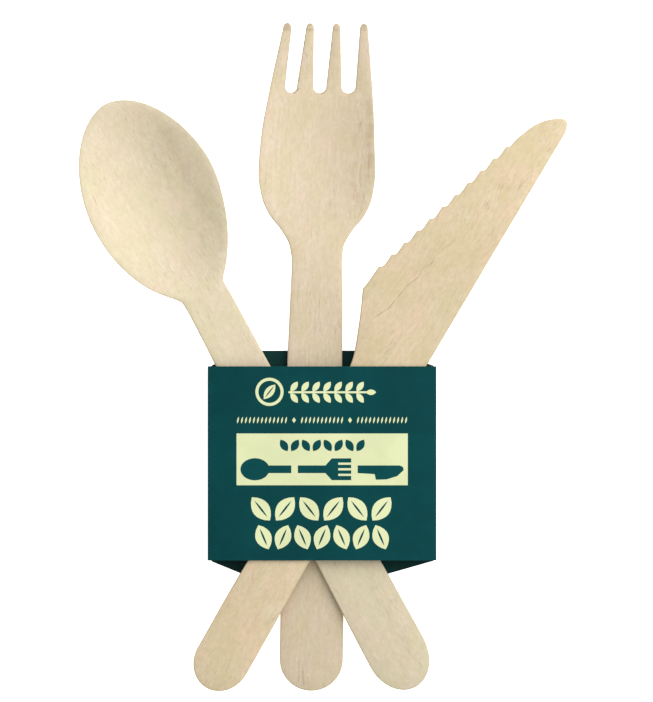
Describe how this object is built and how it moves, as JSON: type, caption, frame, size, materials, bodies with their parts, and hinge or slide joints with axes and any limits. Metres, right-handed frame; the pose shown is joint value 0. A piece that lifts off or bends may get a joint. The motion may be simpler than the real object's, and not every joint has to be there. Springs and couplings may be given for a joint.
{
  "type": "wooden cutlery pack",
  "caption": "Disposable wooden spoon, fork and knife fanned out and held together by a short folded card sleeve.",
  "frame": {"origin": "centre of the sleeve's back panel, on its outer face, which lies on the surface", "axes": "+Y along the fork towards the heads of the cutlery, +X to the right as the printed front panel is read, +Z out of the front panel"},
  "size_m": [0.1208, 0.1657, 0.0077],
  "materials": {
    "green_card": "matt dark teal print with pale yellow-green motifs",
    "fork_wood": "raw pressed birch veneer, fine long grain",
    "spoon_wood": "raw pressed birch veneer, fine long grain",
    "knife_wood": "raw pressed birch veneer, fine long grain"
  },
  "bodies": {
    "root": {"card_sleeve": "green_card", "fork": "fork_wood", "spoon": "spoon_wood", "knife": "knife_wood"}
  },
  "joints": []
}
